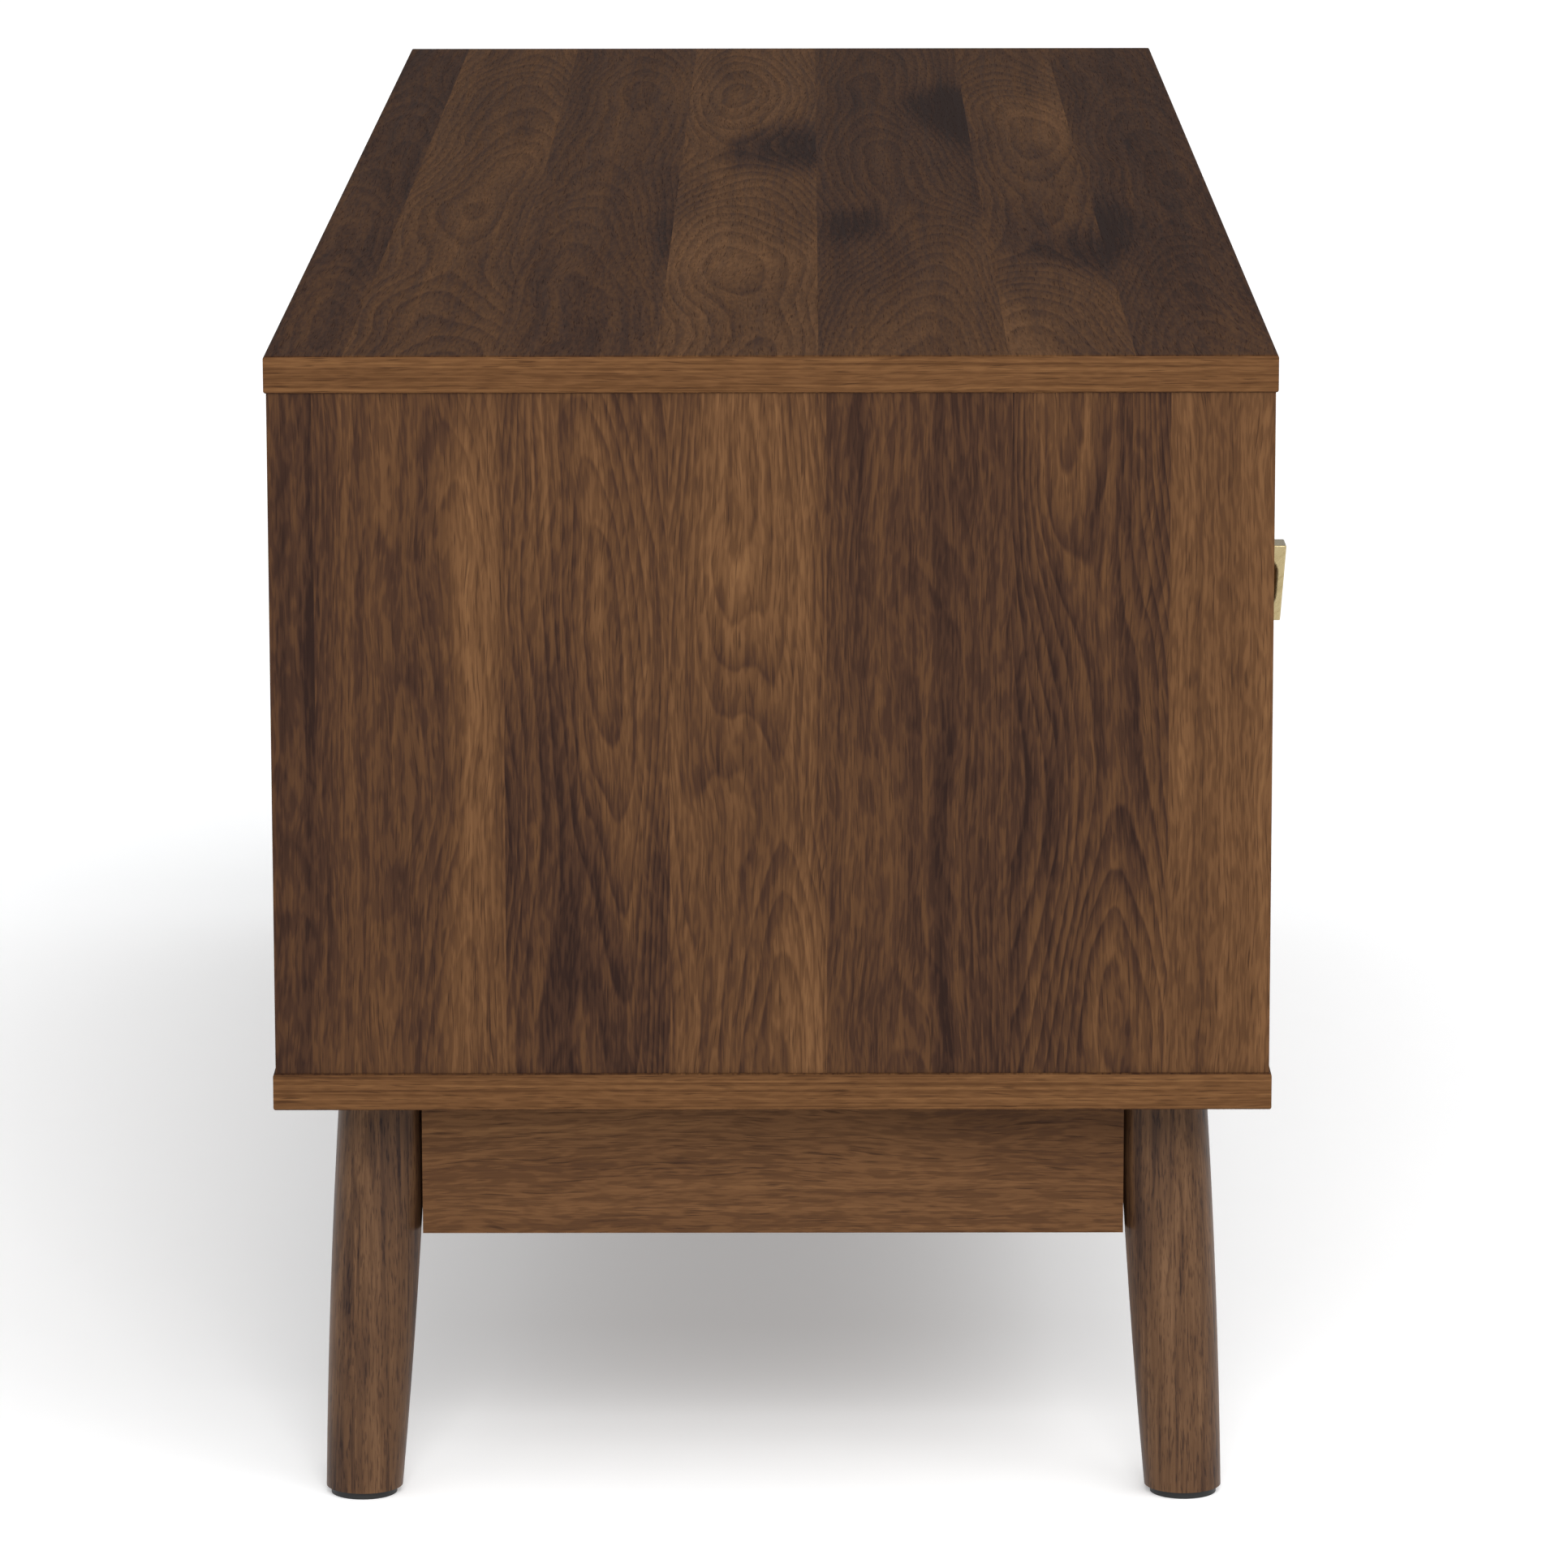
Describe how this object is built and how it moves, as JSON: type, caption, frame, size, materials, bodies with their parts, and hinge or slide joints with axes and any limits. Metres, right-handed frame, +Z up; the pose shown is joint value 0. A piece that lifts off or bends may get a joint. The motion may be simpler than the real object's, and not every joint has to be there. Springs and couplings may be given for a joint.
{
  "type": "sideboard buffet",
  "caption": "Low walnut-grain sideboard on splayed round legs, with hinged doors either side of a stack of drawers and small brass bow pulls.",
  "frame": {"origin": "on the floor under the middle of the whole sideboard, pulls included", "axes": "+X along the length, the front faces -Y, +Z up"},
  "size_m": [1.2, 0.426, 0.475],
  "materials": {
    "walnut_boards": "walnut-grain foil on particle board, satin, planked pattern, banded edges",
    "walnut_fronts": "walnut-grain foil on particle board, satin, banded edges",
    "walnut_shelves": "walnut-grain foil on particle board, satin",
    "walnut_base": "walnut-stained wood, satin lacquer",
    "leg_wood": "solid turned wood, walnut stain, satin lacquer",
    "block_wood": "plain softwood, unfinished",
    "back_board": "thin fibreboard, walnut-tone print on the inside",
    "drawer_board": "foil-wrapped fibreboard, dark walnut tone",
    "brass": "satin brass, fine brushed",
    "zinc_steel": "zinc-plated steel",
    "slide_steel": "rolled zinc-plated steel",
    "nylon": "off-white nylon",
    "catch_plastic": "brown moulded plastic",
    "glide_black": "black moulded plastic"
  },
  "bodies": {
    "case": {"top_board": "walnut_boards", "bottom_board": "walnut_boards", "left_end_panel": "walnut_boards", "right_end_panel": "walnut_boards", "left_divider": "walnut_boards", "right_divider": "walnut_boards", "left_shelf": "walnut_shelves", "right_shelf": "walnut_shelves", "front_apron": "walnut_base", "back_apron": "walnut_base", "left_apron": "walnut_base", "right_apron": "walnut_base", "front_left_leg": "leg_wood", "front_right_leg": "leg_wood", "back_left_leg": "leg_wood", "back_right_leg": "leg_wood", "corner_blocks": "block_wood", "case_dowels": "block_wood", "back_panel": "back_board", "back_screws": "zinc_steel", "case_screws": "zinc_steel", "base_screws": "zinc_steel", "hanger_bolts": "zinc_steel", "hanger_nuts": "zinc_steel", "cam_studs": "zinc_steel", "cam_locks": "zinc_steel", "shelf_pins": "zinc_steel", "slide_cabinet_members": "slide_steel", "pivot_bushes": "nylon", "magnetic_catches": "catch_plastic", "foot_glides": "glide_black"},
    "left_door": {"left_door": "walnut_fronts", "left_pivot_pins": "zinc_steel", "left_strike_plate": "zinc_steel", "left_door_pull": "brass", "left_door_pull_screws": "zinc_steel"},
    "right_door": {"right_door": "walnut_fronts", "right_pivot_pins": "zinc_steel", "right_strike_plate": "zinc_steel", "right_door_pull": "brass", "right_door_pull_screws": "zinc_steel"},
    "upper_drawer": {"upper_drawer_front": "walnut_fronts", "upper_drawer_left_side": "drawer_board", "upper_drawer_right_side": "drawer_board", "upper_drawer_back": "drawer_board", "upper_drawer_bottom": "drawer_board", "upper_drawer_pull": "brass", "upper_drawer_pull_screws": "zinc_steel", "upper_slide_drawer_members": "slide_steel"},
    "upper_slides": {"upper_slide_middles": "slide_steel"},
    "lower_drawer": {"lower_drawer_front": "walnut_fronts", "lower_drawer_left_side": "drawer_board", "lower_drawer_right_side": "drawer_board", "lower_drawer_back": "drawer_board", "lower_drawer_bottom": "drawer_board", "lower_drawer_pull": "brass", "lower_drawer_pull_screws": "zinc_steel", "lower_slide_drawer_members": "slide_steel"},
    "lower_slides": {"lower_slide_middles": "slide_steel"}
  },
  "joints": [
    {"name": "left_door_hinge", "type": "hinge", "parent": "case", "child": "left_door", "pos_m": [-0.566, -0.1785, 0.3225], "axis": [0, 0, -1], "range_deg": [0, 105]},
    {"name": "right_door_hinge", "type": "hinge", "parent": "case", "child": "right_door", "pos_m": [0.566, -0.1785, 0.3225], "axis": [0, 0, 1], "range_deg": [0, 105]},
    {"name": "upper_drawer_slide", "type": "slide", "parent": "case", "child": "upper_drawer", "axis": [0, -1, 0], "range_m": [0, 0.3]},
    {"name": "upper_middle_slide", "type": "slide", "parent": "case", "child": "upper_slides", "axis": [0, -1, 0], "range_m": [0, 0.15]},
    {"name": "lower_drawer_slide", "type": "slide", "parent": "case", "child": "lower_drawer", "axis": [0, -1, 0], "range_m": [0, 0.3]},
    {"name": "lower_middle_slide", "type": "slide", "parent": "case", "child": "lower_slides", "axis": [0, -1, 0], "range_m": [0, 0.15]}
  ],
  "couplings": [
    {"joint": "upper_middle_slide", "follows": "upper_drawer_slide", "ratio": 0.5},
    {"joint": "lower_middle_slide", "follows": "lower_drawer_slide", "ratio": 0.5}
  ]
}
